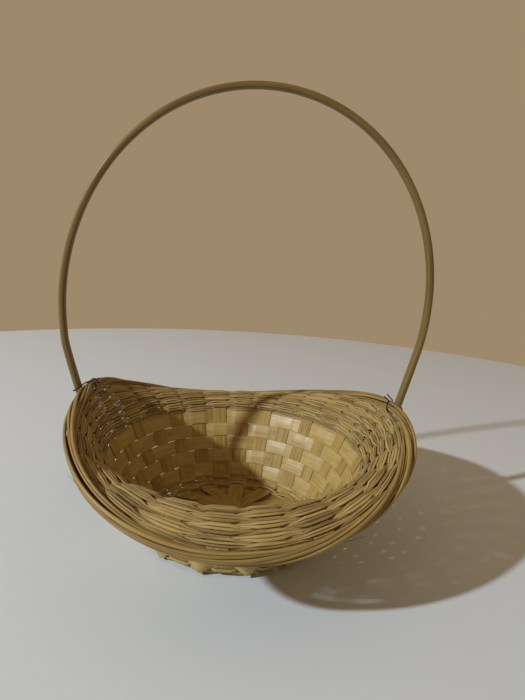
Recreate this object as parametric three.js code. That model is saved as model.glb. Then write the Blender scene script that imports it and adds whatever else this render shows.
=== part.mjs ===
// A round bamboo flower basket: long splints cross under the middle of the base and stand up as stakes,
// five wide bands and many narrow strands are woven round them, a rolled border closes the brim, and a
// bent hoop, pushed into the weave at both ends and tied with wire, is the handle.
// Millimetres, +Z up. The origin is the middle of the base, on the face that the basket rests on.
import * as THREE from "three";

// ---- driving dimensions ----
const CLEARANCE = 0.3; // air between two pieces that touch

// Stakes: each splint runs from the brim down, across the base and up to the brim again.
const SPLINTS = 14;
const SPLINT_WIDTH = 12.5;
const SPLINT_THICKNESS = 0.5;
const FIRST_STAKE_ANGLE = 4.4; // degrees from +X
const BASE_RADIUS = 70; // where the wall's line meets the ground
const BEND_START = 6; // how far before that a splint starts to turn up
const BEND_END = 5; // how far up the wall's line the turn ends
const WALL_SLOPE = 65; // degrees from the ground

// Strands at the foot of the wall.
const FOOT_STRAND_WIDTH = 2.2;
const FOOT_STRAND_THICKNESS = 1.2;
const FLOOR_RING_RADIUS = 61;
const FLOOR_RING_MARGIN = 1; // between the ring and the place where splints have parted to two levels

// A woven strip lies level across a stake and this share of the gap beyond it, then slants.
const LEVEL_SHARE = 0.25;

// Wide bands of the wall.
const BAND_ROWS = 5;
const BAND_WIDTH = 11.6;
const BAND_THICKNESS = 0.5;
const BAND_GAP = 0.8;

// Narrow strands of the brim.
const BRIM_ROWS = 11;
const BRIM_STRAND_WIDTH = 3.2;
const BRIM_STRAND_THICKNESS = 1.4;
const BRIM_STRAND_GAP = 0.6;

// The brim leaves the wall at the wall's slope and bends over to an end slope, in degrees, which is
// steep at the two sides and hangs down at the front and back, a little unevenly as woven by hand.
const BRIM_END_SLOPE = 8;
const BRIM_SADDLE = 50;
const BRIM_LEFT_LIFT = 8;
const BRIM_BACK_LIFT = 4;
const BRIM_SKEW = 4;
const BRIM_THREE_LOBE = 5;
const BRIM_BEND_POWER = 1.6;

// Rolled border: strands twisted slowly round the rim's line.
const BORDER_STRANDS = 4;
const BORDER_STRAND_DIAMETER = 3.2;
const BORDER_TURNS = 3;

// Handle: a split cane bent to a hoop, whose ends are whittled down and tucked into the brim.
const HOOP_WIDTH = 8;
const HOOP_THICKNESS = 5;
const HANDLE_HEIGHT = 340.5; // from the ground to the top of the hoop
const HOOP_FLATTENING = 8.3; // less radius to the sides, more to the top
const HOOP_SKEW = 3;
const HOOP_CENTRE_SHIFT = 2; // towards the right leg
const HOOP_LEG_SHARE = 0.51; // the hoop turns into its legs at this share of the angle down to its feet

// Legs: the hoop's ends from their tips, under strands of the brim, to the bend past the border.
const LEG_STAKES = { left: 13, right: 0 }; // the stakes that the two legs lie against
const LEG_COVERED_ROWS = 7; // brim rows, counted from the wall, that can hold a leg down
const LEG_TIP_WIDTH = 5;
const LEG_TIP_THICKNESS = 1;
const LEG_TUCKED_THICKNESS = 2.6;
const LEG_SHOULDER_THICKNESS = 3.8; // just below the border
const LEG_BEND_THICKNESS = 4.4; // where it turns up round the border
const LEG_BEND_DIRECTION = -45; // degrees above level, seen from the rim's line
const LEG_TOP_DIRECTION = -16; // where it has its full thickness

// Wire ties.
const WIRE_DIAMETER = 1;
const WIRE_TAIL = 4.5;
const WIRE_SLACK = 0.6; // between the wire and what it is wound on

// Straight pieces in each bend.
const STAKE_CORNER_STEPS = 3;
const BRIM_ARC_STEPS = 24;
const HOOP_STEPS = 30;
const WIRE_STEPS = 36;

// ---- sizes that follow ----
const STAKES = 2 * SPLINTS;
const STAKE_PITCH = 360 / STAKES;
const LAYER = SPLINT_THICKNESS + CLEARANCE; // height of one crossing splint
const FULL_STACK_RADIUS = SPLINT_WIDTH / 2 / Math.sin(THREE.MathUtils.degToRad(STAKE_PITCH));
const FOOT_STRAND_HEIGHT = BEND_END + FOOT_STRAND_WIDTH / 2 + CLEARANCE; // along the wall
const FIRST_BAND_EDGE = FOOT_STRAND_HEIGHT + FOOT_STRAND_WIDTH / 2 + 2 * CLEARANCE;
const BAND_PITCH = BAND_WIDTH + BAND_GAP;
const WALL_LENGTH = FIRST_BAND_EDGE + BAND_ROWS * BAND_PITCH - BAND_GAP / 2;
const BRIM_PITCH = BRIM_STRAND_WIDTH + BRIM_STRAND_GAP;
const BORDER_TWIST_RADIUS =
  (BORDER_STRAND_DIAMETER + CLEARANCE) / 2 / Math.sin(Math.PI / BORDER_STRANDS);
const BORDER_RADIUS = BORDER_TWIST_RADIUS + BORDER_STRAND_DIAMETER / 2;
const WIRE_ROOM = WIRE_DIAMETER + 2 * CLEARANCE;
const BRIM_LENGTH = BRIM_ROWS * BRIM_PITCH + WIRE_ROOM + BORDER_RADIUS;
const RIM = WALL_LENGTH + BRIM_LENGTH; // the rim's line, measured along the wall and brim
const STAKE_END = RIM - BORDER_RADIUS - CLEARANCE;
const BAND_OFFSET = SPLINT_THICKNESS / 2 + CLEARANCE + BAND_THICKNESS / 2;
const FOOT_OFFSET = SPLINT_THICKNESS / 2 + CLEARANCE + FOOT_STRAND_THICKNESS / 2;
const BRIM_OFFSET = SPLINT_THICKNESS / 2 + CLEARANCE + BRIM_STRAND_THICKNESS / 2;
const UPPER_FLOOR_LAYER = SPLINT_THICKNESS + FOOT_STRAND_THICKNESS + 2 * CLEARANCE;
const TWO_LEVEL_RADIUS = FLOOR_RING_RADIUS - FOOT_STRAND_WIDTH - FLOOR_RING_MARGIN;
const LEG_TIP = WALL_LENGTH + BRIM_PITCH; // along the wall and brim
const LEG_HELD_END = WALL_LENGTH + LEG_COVERED_ROWS * BRIM_PITCH;

const radians = THREE.MathUtils.degToRad;
const stakeAngle = (stake) => radians(FIRST_STAKE_ANGLE + stake * STAKE_PITCH);

// ---- the basket's middle surface ----
// A point is given by its angle round the basket and its distance along the wall and brim.

function brimEndSlope(angle) {
  return radians(
    BRIM_END_SLOPE +
      BRIM_SADDLE * Math.cos(2 * angle) -
      BRIM_LEFT_LIFT * Math.cos(angle) +
      BRIM_BACK_LIFT * Math.sin(angle) -
      BRIM_SKEW * Math.sin(2 * angle) -
      BRIM_THREE_LOBE * (Math.cos(3 * angle) + Math.sin(3 * angle)),
  );
}

function slopeAt(angle, along) {
  const wall = radians(WALL_SLOPE);
  if (along <= WALL_LENGTH) return wall;
  const share = Math.min((along - WALL_LENGTH) / BRIM_LENGTH, 1);
  const bent = 1 - (1 - share) ** BRIM_BEND_POWER;
  return wall + (brimEndSlope(angle) - wall) * bent;
}

// Radius and height of the surface at one angle.
function profile(angle, along) {
  const wall = radians(WALL_SLOPE);
  const onWall = Math.min(along, WALL_LENGTH);
  let radius = BASE_RADIUS + onWall * Math.cos(wall);
  let height = onWall * Math.sin(wall);
  const step = Math.max(along - WALL_LENGTH, 0) / BRIM_ARC_STEPS;
  for (let i = 0; step > 0 && i < BRIM_ARC_STEPS; i++) {
    const slope = slopeAt(angle, WALL_LENGTH + (i + 0.5) * step);
    radius += step * Math.cos(slope);
    height += step * Math.sin(slope);
  }
  return { radius, height };
}

function surfacePoint(angle, along) {
  const { radius, height } = profile(angle, along);
  return new THREE.Vector3(radius * Math.cos(angle), radius * Math.sin(angle), height);
}

// Unit vectors on the surface: round the basket, up the brim, and out of the basket.
function surfaceFrame(angle, along) {
  const nudge = 1e-3;
  const round = surfacePoint(angle + nudge, along)
    .sub(surfacePoint(angle - nudge, along))
    .normalize();
  const slope = slopeAt(angle, along);
  const up = new THREE.Vector3(
    Math.cos(slope) * Math.cos(angle),
    Math.cos(slope) * Math.sin(angle),
    Math.sin(slope),
  );
  const out = new THREE.Vector3().crossVectors(round, up).normalize();
  return { round, up, out };
}

// A point off the surface, outwards where the offset is positive.
function offsetPoint(angle, along, offset) {
  const { out } = surfaceFrame(angle, along);
  return surfacePoint(angle, along).addScaledVector(out, offset);
}

// ---- building closed meshes from rings of points ----

// Skins a row of rings with the same number of points. A loop joins its last ring to its first, and an
// open row gets a lid on each end.
function loft(rings, isLoop) {
  const sides = rings[0].length;
  const faces = [];
  const spans = isLoop ? rings.length : rings.length - 1;
  for (let i = 0; i < spans; i++) {
    const here = i * sides;
    const next = ((i + 1) % rings.length) * sides;
    for (let j = 0; j < sides; j++) {
      const k = (j + 1) % sides;
      faces.push(here + j, next + k, here + k);
      faces.push(here + j, next + j, next + k);
    }
  }
  const last = (rings.length - 1) * sides;
  for (let j = 1; !isLoop && j < sides - 1; j++) {
    faces.push(0, j, j + 1);
    faces.push(last, last + j + 1, last + j);
  }
  const geometry = new THREE.BufferGeometry().setFromPoints(rings.flat());
  geometry.setIndex(faces);
  geometry.computeVertexNormals();
  return geometry;
}

// A ring of points with rounded corners, width along side and thickness along normal.
function roundedSection(centre, side, normal, width, thickness) {
  const corner = 0.28 * thickness;
  const x = width / 2;
  const y = thickness / 2;
  const outline = [
    [x, y - corner],
    [x - corner, y],
    [corner - x, y],
    [-x, y - corner],
    [-x, corner - y],
    [corner - x, -y],
    [x - corner, -y],
    [x, corner - y],
  ];
  return outline.map(([a, b]) =>
    centre.clone().addScaledVector(side, a).addScaledVector(normal, b),
  );
}

// A ring of points on a circle.
function roundSection(centre, side, normal, diameter, sides) {
  const ring = [];
  for (let i = 0; i < sides; i++) {
    const turn = (2 * Math.PI * i) / sides;
    ring.push(
      centre
        .clone()
        .addScaledVector(side, (diameter / 2) * Math.cos(turn))
        .addScaledVector(normal, (diameter / 2) * Math.sin(turn)),
    );
  }
  return ring;
}

const bamboo = (color, roughness) =>
  new THREE.MeshStandardMaterial({ color, roughness, metalness: 0 });
const SPLINT_MATERIAL = bamboo(0xb8924e, 0.55);
const BAND_MATERIAL = bamboo(0xc9a662, 0.5);
const STRAND_MATERIAL = bamboo(0xb0935a, 0.6);
const BORDER_MATERIAL = bamboo(0xa88649, 0.55);
const HOOP_MATERIAL = bamboo(0x7d6433, 0.45);
const WIRE_MATERIAL = new THREE.MeshStandardMaterial({
  color: 0x1b1a18,
  roughness: 0.45,
  metalness: 0.3,
});

const basket = new THREE.Group();
function addPiece(name, geometry, material) {
  const piece = new THREE.Mesh(geometry, material);
  piece.name = name;
  basket.add(piece);
}
const numbered = (name, index) => name + "_" + String(index + 1).padStart(2, "0");

// ---- splints ----

// Height of a splint's middle over the ground, at a distance from the basket's axis. Every second
// splint is in the upper half of the stack. The stack thins out to two layers where splints part.
function floorHeight(splint, distance) {
  const isUpper = splint % 2 === 0;
  const rank = Math.floor(splint / 2) + (isUpper ? SPLINTS / 2 : 0);
  const stacked = SPLINT_THICKNESS / 2 + rank * LAYER;
  const parted = SPLINT_THICKNESS / 2 + (isUpper ? UPPER_FLOOR_LAYER : 0);
  const share = (distance - FULL_STACK_RADIUS) / (TWO_LEVEL_RADIUS - FULL_STACK_RADIUS);
  return THREE.MathUtils.lerp(stacked, parted, THREE.MathUtils.clamp(share, 0, 1));
}

// Four corners of a splint lying straight across, from its middle line's place and tilt.
function flatSplintSection(direction, side, distance, height, tilt) {
  const inner = direction.clone().multiplyScalar(-Math.sin(tilt));
  inner.z = Math.cos(tilt);
  const centre = direction.clone().multiplyScalar(distance);
  centre.z = height;
  const half = SPLINT_WIDTH / 2;
  const skin = SPLINT_THICKNESS / 2;
  return [
    [half, skin],
    [-half, skin],
    [-half, -skin],
    [half, -skin],
  ].map(([a, b]) => centre.clone().addScaledVector(side, a).addScaledVector(inner, b));
}

// Rings of one half of a splint, from its end at the border to the middle of the base.
function halfSplint(splint, stake, mirrored) {
  const angle = stakeAngle(stake);
  const direction = new THREE.Vector3(Math.cos(angle), Math.sin(angle), 0);
  const side = new THREE.Vector3(-direction.y, direction.x, 0).multiplyScalar(mirrored ? -1 : 1);
  const rings = [];

  const brimStations = [STAKE_END];
  for (let row = BRIM_ROWS - 1; row > 0; row--) {
    brimStations.push(WALL_LENGTH + row * BRIM_PITCH);
  }
  const wallStations = [WALL_LENGTH, WALL_LENGTH / 2, BEND_END];
  for (const along of [...brimStations, ...wallStations]) {
    const half = SPLINT_WIDTH / 2 / profile(angle, along).radius;
    const left = mirrored ? -half : half;
    rings.push([
      offsetPoint(angle + left, along, -SPLINT_THICKNESS / 2),
      offsetPoint(angle - left, along, -SPLINT_THICKNESS / 2),
      offsetPoint(angle - left, along, SPLINT_THICKNESS / 2),
      offsetPoint(angle + left, along, SPLINT_THICKNESS / 2),
    ]);
  }

  const wall = radians(WALL_SLOPE);
  const level = floorHeight(splint, BASE_RADIUS);
  const bend = new THREE.QuadraticBezierCurve(
    new THREE.Vector2(
      BASE_RADIUS + BEND_END * Math.cos(wall),
      BEND_END * Math.sin(wall),
    ),
    new THREE.Vector2(BASE_RADIUS + level / Math.tan(wall), level),
    new THREE.Vector2(BASE_RADIUS - BEND_START, level),
  );
  for (let i = 1; i <= STAKE_CORNER_STEPS; i++) {
    const share = i / STAKE_CORNER_STEPS;
    const point = bend.getPoint(share);
    const tangent = bend.getTangent(share);
    const tilt = Math.atan2(-tangent.y, -tangent.x);
    rings.push(flatSplintSection(direction, side, point.x, point.y, tilt));
  }

  for (const distance of [TWO_LEVEL_RADIUS, FULL_STACK_RADIUS]) {
    const height = floorHeight(splint, distance);
    rings.push(flatSplintSection(direction, side, distance, height, 0));
  }
  return rings;
}

for (let splint = 0; splint < SPLINTS; splint++) {
  const there = halfSplint(splint, splint, false);
  const back = halfSplint(splint, splint + SPLINTS, true).reverse();
  addPiece(numbered("stake_splint", splint), loft([...there, ...back], false), SPLINT_MATERIAL);
}

// ---- woven rows ----

const passesOutside = (row, stake) => (row + stake) % 2 === 1;

// The outermost brim row that holds down the leg on a stake.
function lastCoveringRow(stake) {
  return passesOutside(LEG_COVERED_ROWS - 1, stake) ? LEG_COVERED_ROWS - 1 : LEG_COVERED_ROWS - 2;
}

// How thick a leg is where strands hold it, at a distance along the brim.
function tuckedThickness(along) {
  const share = THREE.MathUtils.clamp((along - LEG_TIP) / (LEG_HELD_END - LEG_TIP), 0, 1);
  return THREE.MathUtils.lerp(LEG_TIP_THICKNESS, LEG_TUCKED_THICKNESS, share);
}

// One row: a flat strip that runs in front of one stake and behind the next, all the way round. It is
// straight across each stake and slants through the gap between two stakes.
function wovenRow(along, width, thickness, offset, isOutside, extra) {
  const rings = [];
  for (let stake = 0; stake < STAKES; stake++) {
    const height = isOutside(stake) ? offset + extra(stake) : -offset;
    const stakeHalf = SPLINT_WIDTH / 2 / profile(stakeAngle(stake), along).radius;
    const level = THREE.MathUtils.lerp(stakeHalf, radians(STAKE_PITCH) / 2, LEVEL_SHARE);
    for (const angle of [stakeAngle(stake) - level, stakeAngle(stake) + level]) {
      rings.push([
        offsetPoint(angle, along - width / 2, height + thickness / 2),
        offsetPoint(angle, along + width / 2, height + thickness / 2),
        offsetPoint(angle, along + width / 2, height - thickness / 2),
        offsetPoint(angle, along - width / 2, height - thickness / 2),
      ]);
    }
  }
  return loft(rings, true);
}

const noExtra = () => 0;

addPiece(
  "foot_strand",
  wovenRow(
    FOOT_STRAND_HEIGHT,
    FOOT_STRAND_WIDTH,
    FOOT_STRAND_THICKNESS,
    FOOT_OFFSET,
    (stake) => stake % 2 === 0,
    noExtra,
  ),
  STRAND_MATERIAL,
);

// A flat ring on the floor, over the lower splints and under the upper ones.
function floorRing() {
  const rings = [];
  const low = SPLINT_THICKNESS + CLEARANCE;
  const high = low + FOOT_STRAND_THICKNESS;
  const inside = FLOOR_RING_RADIUS - FOOT_STRAND_WIDTH / 2;
  const outside = FLOOR_RING_RADIUS + FOOT_STRAND_WIDTH / 2;
  for (let stake = 0; stake < STAKES; stake++) {
    const angle = stakeAngle(stake);
    const point = (radius, height) =>
      new THREE.Vector3(radius * Math.cos(angle), radius * Math.sin(angle), height);
    rings.push([point(outside, low), point(outside, high), point(inside, high), point(inside, low)]);
  }
  return loft(rings, true);
}
addPiece("floor_ring_strand", floorRing(), STRAND_MATERIAL);

for (let row = 0; row < BAND_ROWS; row++) {
  const along = FIRST_BAND_EDGE + row * BAND_PITCH + BAND_WIDTH / 2;
  const isOutside = (stake) => passesOutside(row, stake);
  addPiece(
    numbered("wall_band", row),
    wovenRow(along, BAND_WIDTH, BAND_THICKNESS, BAND_OFFSET, isOutside, noExtra),
    BAND_MATERIAL,
  );
}

for (let row = 0; row < BRIM_ROWS; row++) {
  const along = WALL_LENGTH + (row + 0.5) * BRIM_PITCH;
  const isOutside = (stake) => passesOutside(row, stake);
  const overLeg = (stake) => {
    const isCovering = Object.values(LEG_STAKES).includes(stake) && row <= lastCoveringRow(stake);
    return isCovering ? tuckedThickness(along + BRIM_PITCH / 2) + CLEARANCE : 0;
  };
  addPiece(
    numbered("brim_strand", row),
    wovenRow(along, BRIM_STRAND_WIDTH, BRIM_STRAND_THICKNESS, BRIM_OFFSET, isOutside, overLeg),
    STRAND_MATERIAL,
  );
}

// ---- rolled border ----

for (let strand = 0; strand < BORDER_STRANDS; strand++) {
  const rings = [];
  for (let i = 0; i < 2 * STAKES; i++) {
    const angle = stakeAngle(i / 2);
    const { up, out } = surfaceFrame(angle, RIM);
    const twist = BORDER_TURNS * angle + (2 * Math.PI * strand) / BORDER_STRANDS;
    const centre = surfacePoint(angle, RIM)
      .addScaledVector(out, BORDER_TWIST_RADIUS * Math.cos(twist))
      .addScaledVector(up, BORDER_TWIST_RADIUS * Math.sin(twist));
    rings.push(roundSection(centre, out, up, BORDER_STRAND_DIAMETER, 5));
  }
  addPiece(numbered("border_strand", strand), loft(rings, true), BORDER_MATERIAL);
}

// ---- handle ----

// A point in the upright plane through a leg's stake, beside the rim: its distance from the rim's line
// and the direction, in degrees above level, away from the basket.
function besideRim(angle, distance, direction) {
  const { radius, height } = profile(angle, RIM);
  const r = radius + distance * Math.cos(radians(direction));
  const z = height + distance * Math.sin(radians(direction));
  return new THREE.Vector3(r * Math.cos(angle), r * Math.sin(angle), z);
}

// Stations of one leg from its tip to the rim: centre, direction across the cane, width and thickness.
// The tucked stretch lies flat on its stake, and the free stretch turns to face as the hoop does.
function legStations(stake, hoopSide) {
  const angle = stakeAngle(stake);
  const stakeSide = surfaceFrame(angle, LEG_TIP).round;
  if (stakeSide.dot(hoopSide) < 0) stakeSide.negate();
  const innerFace = SPLINT_THICKNESS / 2 + CLEARANCE;
  const overStrands = innerFace + BRIM_STRAND_THICKNESS + CLEARANCE;
  const covered = WALL_LENGTH + (lastCoveringRow(stake) + 1) * BRIM_PITCH;
  const stations = [];
  for (let along = LEG_TIP; along < covered + BRIM_PITCH / 2; along += BRIM_PITCH) {
    const thickness = tuckedThickness(along);
    const share = (along - LEG_TIP) / (RIM - LEG_TIP);
    stations.push({
      centre: offsetPoint(angle, along, innerFace + thickness / 2),
      side: stakeSide,
      width: THREE.MathUtils.lerp(LEG_TIP_WIDTH, HOOP_WIDTH, share),
      thickness,
    });
  }
  for (const [along, thickness] of [
    [covered + BRIM_PITCH, LEG_TUCKED_THICKNESS],
    [STAKE_END - WIRE_ROOM / 2, LEG_SHOULDER_THICKNESS],
  ]) {
    stations.push({
      centre: offsetPoint(angle, along, overStrands + CLEARANCE + thickness / 2),
      side: stakeSide,
      width: HOOP_WIDTH,
      thickness,
    });
  }
  const aroundBorder = BORDER_RADIUS + 2 * CLEARANCE;
  for (const [direction, thickness] of [
    [LEG_BEND_DIRECTION, LEG_BEND_THICKNESS],
    [LEG_TOP_DIRECTION, HOOP_THICKNESS],
  ]) {
    stations.push({
      centre: besideRim(angle, aroundBorder + thickness / 2, direction),
      side: stakeSide.clone().lerp(hoopSide, thickness / HOOP_THICKNESS).normalize(),
      width: HOOP_WIDTH,
      thickness,
    });
  }
  return stations;
}

function handleGeometry() {
  const leftFoot = besideRim(stakeAngle(LEG_STAKES.left), BORDER_RADIUS, 0);
  const rightFoot = besideRim(stakeAngle(LEG_STAKES.right), BORDER_RADIUS, 0);
  const across = rightFoot.clone().sub(leftFoot).setZ(0).normalize();
  const side = new THREE.Vector3(-across.y, across.x, 0);
  const left = legStations(LEG_STAKES.left, side);
  const right = legStations(LEG_STAKES.right, side);

  // The hoop is close to a circle through both feet and the top.
  const centre = leftFoot.clone().add(rightFoot).multiplyScalar(0.5);
  const halfSpan = leftFoot.distanceTo(rightFoot) / 2;
  const rise = HANDLE_HEIGHT - HOOP_THICKNESS / 2 - centre.z;
  const hoopRadius = (halfSpan ** 2 + rise ** 2) / (2 * rise);
  const feetBelowCentre = rise - hoopRadius - HOOP_FLATTENING;
  const legAngle = HOOP_LEG_SHARE * Math.atan2(feetBelowCentre, halfSpan);
  centre.addScaledVector(across, HOOP_CENTRE_SHIFT);
  centre.z += feetBelowCentre;

  const hoop = [];
  for (let i = 0; i <= HOOP_STEPS; i++) {
    const turn = THREE.MathUtils.lerp(Math.PI + legAngle, -legAngle, i / HOOP_STEPS);
    const radius =
      hoopRadius - HOOP_FLATTENING * Math.cos(2 * turn) + HOOP_SKEW * Math.sin(2 * turn);
    const point = centre.clone().addScaledVector(across, radius * Math.cos(turn));
    point.z += radius * Math.sin(turn);
    hoop.push({ centre: point, side, width: HOOP_WIDTH, thickness: HOOP_THICKNESS });
  }

  const stations = [...left, ...hoop, ...right.reverse()];
  const rings = stations.map((station, i) => {
    const before = stations[Math.max(i - 1, 0)].centre;
    const after = stations[Math.min(i + 1, stations.length - 1)].centre;
    const tangent = after.clone().sub(before).normalize();
    const normal = new THREE.Vector3().crossVectors(station.side, tangent).normalize();
    const broad = new THREE.Vector3().crossVectors(tangent, normal);
    return roundedSection(station.centre, broad, normal, station.width, station.thickness);
  });
  return loft(rings, false);
}
addPiece("handle_hoop", handleGeometry(), HOOP_MATERIAL);

// ---- wire ties ----

// The wire goes over the border on one side of the leg, round the leg's outer face, back through the
// weave under the border on the other side, and up again, with a short tail at each end.
function tieGeometry(stake) {
  const angle = stakeAngle(stake);
  const { round, up, out } = surfaceFrame(angle, RIM);
  const rim = surfacePoint(angle, RIM);
  const onBorder = BORDER_RADIUS + WIRE_SLACK + WIRE_DIAMETER / 2;
  const onLeg = BORDER_RADIUS + 2 * CLEARANCE + HOOP_THICKNESS + 2 * WIRE_SLACK + WIRE_DIAMETER / 2;
  const besideFaces = onLeg - HOOP_THICKNESS / 2;
  const legEdge = HOOP_WIDTH / 2 + WIRE_SLACK + WIRE_DIAMETER;
  const stakeEdge = SPLINT_WIDTH / 2 + WIRE_SLACK + WIRE_DIAMETER / 2;
  // A point round the border: degrees from straight out of the surface towards the rim's free edge.
  const aroundBorder = (turn, distance, sideways) =>
    rim
      .clone()
      .addScaledVector(out, distance * Math.cos(radians(turn)))
      .addScaledVector(up, distance * Math.sin(radians(turn)))
      .addScaledVector(round, sideways);
  const besideLeg = (distance, direction, sideways) =>
    besideRim(angle, distance, direction).addScaledVector(round, sideways);
  const path = new THREE.CatmullRomCurve3([
    aroundBorder(150, onBorder + WIRE_TAIL, WIRE_DIAMETER),
    aroundBorder(135, onBorder + WIRE_TAIL / 3, WIRE_DIAMETER),
    aroundBorder(100, onBorder, legEdge / 2),
    aroundBorder(60, onBorder, legEdge),
    besideLeg(besideFaces, -6, legEdge),
    besideLeg(onLeg, -10, legEdge / 2),
    besideLeg(onLeg, -16, -legEdge / 2),
    besideLeg(besideFaces, -30, -legEdge),
    aroundBorder(-60, onBorder, -stakeEdge),
    aroundBorder(-90, onBorder, -stakeEdge),
    aroundBorder(-130, onBorder, -stakeEdge),
    aroundBorder(-175, onBorder, -legEdge),
    aroundBorder(160, onBorder, -legEdge / 2),
    aroundBorder(172, onBorder + WIRE_TAIL, -WIRE_DIAMETER),
  ]);
  const frames = path.computeFrenetFrames(WIRE_STEPS, false);
  const rings = [];
  for (let i = 0; i <= WIRE_STEPS; i++) {
    const centre = path.getPointAt(i / WIRE_STEPS);
    rings.push(roundSection(centre, frames.binormals[i], frames.normals[i], WIRE_DIAMETER, 6));
  }
  return loft(rings, false);
}
for (const [name, stake] of Object.entries(LEG_STAKES)) {
  addPiece("wire_tie_" + name, tieGeometry(stake), WIRE_MATERIAL);
}

export default basket;
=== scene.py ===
import math
import random

import bmesh
import bpy
import numpy as np
from mathutils import Matrix, Vector


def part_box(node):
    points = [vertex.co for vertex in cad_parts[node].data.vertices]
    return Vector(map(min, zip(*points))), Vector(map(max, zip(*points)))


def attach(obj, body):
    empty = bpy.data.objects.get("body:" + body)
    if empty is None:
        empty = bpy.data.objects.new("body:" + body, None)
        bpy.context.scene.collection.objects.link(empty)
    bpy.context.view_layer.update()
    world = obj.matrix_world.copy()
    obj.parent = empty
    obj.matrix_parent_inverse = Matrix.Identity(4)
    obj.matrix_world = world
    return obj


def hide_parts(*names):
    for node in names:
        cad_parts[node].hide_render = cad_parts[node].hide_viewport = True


bl_info = {
    "name": "Bamboo flower basket",
    "version": (1, 0, 0),
    "blender": (4, 5, 0),
    "location": "View3D > Sidebar > Basket",
    "description": "Weaves a bamboo flower basket with a curved brim, a rolled border and a hoop handle",
    "category": "Add Mesh",
}

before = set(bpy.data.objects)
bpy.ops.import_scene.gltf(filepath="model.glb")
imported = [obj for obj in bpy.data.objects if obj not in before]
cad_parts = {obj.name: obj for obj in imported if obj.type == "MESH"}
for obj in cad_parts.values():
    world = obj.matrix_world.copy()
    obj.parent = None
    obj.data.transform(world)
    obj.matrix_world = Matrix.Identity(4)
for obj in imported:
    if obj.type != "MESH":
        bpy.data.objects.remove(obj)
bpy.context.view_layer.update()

MM = 0.001  # metres
AIR = 0.3 * MM  # between two strips that touch
BODY = "root"
GRAIN = "grain"  # the UV map that follows each strip: metres along it, metres round its section
TONE = "tone"  # the point attribute that makes one strip paler or darker than the next
SEED = 28
TAU = 2 * math.pi


# ---- sizes and colours a user would change ----


def count(name, description, number):
    return bpy.props.IntProperty(name=name, description=description, default=number, min=1)


def length(name, description, millimetres):
    return bpy.props.FloatProperty(
        name=name, description=description, default=millimetres * MM, unit="LENGTH"
    )


def rotation(name, description, degrees):
    return bpy.props.FloatProperty(
        name=name, description=description, default=math.radians(degrees), unit="ROTATION"
    )


def linear(text):
    """Linear colour of an sRGB hex value."""
    channels = [int(text[i : i + 2], 16) / 255 for i in (1, 3, 5)]
    return [c / 12.92 if c <= 0.04045 else ((c + 0.055) / 1.055) ** 2.4 for c in channels]


def colour(name, description, text):
    return bpy.props.FloatVectorProperty(
        name=name, description=description, subtype="COLOR", size=3, default=linear(text), min=0, max=1
    )


class BasketSizes(bpy.types.PropertyGroup):
    """Driving sizes of the basket, the same as the frame's."""

    splints: count("Splints", "Long strips across the base", 14)
    splint_width: length("Splint width", "Width of each stake", 12.5)
    splint_thickness: length("Splint thickness", "Thickness of each stake", 0.5)
    first_stake: rotation("First stake", "Its angle from +X", 4.4)
    base_radius: length("Base radius", "Where the wall's line meets the ground", 70)
    bend_start: length("Bend start", "How far before the wall a splint turns up", 6)
    bend_end: length("Bend end", "How far up the wall the turn ends", 5)
    wall_slope: rotation("Wall slope", "From the ground", 65)
    foot_strand_width: length("Foot strand width", "Strands at the wall's foot", 2.2)
    foot_strand_thickness: length("Foot strand thickness", "Strands at the wall's foot", 1.2)
    floor_ring_radius: length("Floor ring radius", "Ring that locks the splints", 61)
    floor_ring_margin: length("Floor ring margin", "From the ring to where splints part", 1)
    band_rows: count("Band rows", "Wide bands in the wall", 5)
    band_width: length("Band width", "Width of a wall band", 11.6)
    band_thickness: length("Band thickness", "Thickness of a wall band", 0.5)
    band_gap: length("Band gap", "Between two bands", 0.8)
    brim_rows: count("Brim rows", "Rows of narrow strands", 11)
    strand_width: length("Strand width", "Width of one row of the brim", 3.2)
    strand_thickness: length("Strand thickness", "Thickness of a brim strand", 1.4)
    strand_gap: length("Strand gap", "Between two rows of the brim", 0.6)
    brim_end_slope: rotation("Brim slope", "Mean slope at the brim's edge", 8)
    brim_saddle: rotation("Brim saddle", "Sides up, front and back down", 50)
    brim_left_lift: rotation("Left lift", "More slope on the left", 8)
    brim_back_lift: rotation("Back lift", "More slope at the back", 4)
    brim_skew: rotation("Brim skew", "Turns the saddle a little", 4)
    brim_three_lobe: rotation("Three lobes", "Unevenness of the brim", 5)
    brim_bend_power: bpy.props.FloatProperty(
        name="Brim bend", description="How early the brim bends over", default=1.6
    )
    border_strand_diameter: length("Border strand", "Diameter of a border strand", 3.2)
    border_strands: count("Border strands", "Strands in the rolled border", 4)
    border_turns: count("Border turns", "Turns of a strand round the rim", 3)
    hoop_width: length("Hoop width", "Width of the handle's cane", 8)
    hoop_thickness: length("Hoop thickness", "Thickness of the handle's cane", 5)
    hoop_flattening: length("Hoop flattening", "Less radius to the sides", 8.3)
    hoop_skew: length("Hoop skew", "Unevenness of the hoop", 3)
    hoop_shift: length("Hoop shift", "Towards the right leg", 2)
    wire_diameter: length("Wire diameter", "Binding wire", 1)


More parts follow.
